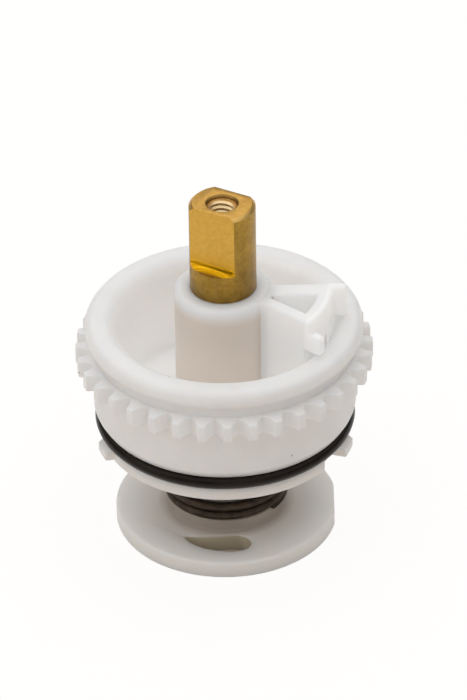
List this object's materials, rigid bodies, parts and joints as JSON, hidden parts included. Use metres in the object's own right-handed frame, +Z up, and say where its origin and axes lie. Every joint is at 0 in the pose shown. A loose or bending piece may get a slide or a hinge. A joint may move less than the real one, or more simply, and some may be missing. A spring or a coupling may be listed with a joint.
{
  "type": "shower valve mixer cap cartridge",
  "caption": "Toothed plastic cap with a turning stem and brass handle spindle above, and a sprung, ported flow disc below.",
  "frame": {"origin": "on the stem's axis at the flow disc's lower face, with the disc at the bottom of its travel", "axes": "+Z up along the stem towards the spindle's tip, -Y towards the picture's viewer, +X to the picture's right"},
  "size_m": [0.0426, 0.0426, 0.054],
  "materials": {
    "white_acetal": "satin moulded acetal",
    "black_rubber": "smooth nitrile rubber",
    "turned_brass": "turned and milled brass",
    "bright_steel": "stamped stainless steel",
    "spring_steel": "dark oiled spring wire"
  },
  "bodies": {
    "cap": {"cap_body": "white_acetal", "body_o_ring": "black_rubber", "thrust_washer": "white_acetal", "spring_seat_ring": "bright_steel"},
    "stem": {"stem": "white_acetal", "spindle": "turned_brass", "upper_stem_o_ring": "black_rubber", "lower_stem_o_ring": "black_rubber", "clip_washer": "white_acetal", "stem_clip": "bright_steel", "spring": "spring_steel", "disc_washer": "bright_steel", "disc_screw": "bright_steel"},
    "disc": {"flow_disc": "white_acetal"}
  },
  "joints": [
    {"name": "stem_turn", "type": "hinge", "parent": "cap", "child": "stem", "pos_m": [0, 0, 0.02], "axis": [0, 0, 1], "range_deg": [-206, 0]},
    {"name": "disc_slide", "type": "slide", "parent": "stem", "child": "disc", "axis": [0, 0, 1], "range_m": [0, 0.0015], "stiffness_N_per_m": 1500, "springref_m": -0.004, "deforming": ["spring"]}
  ]
}
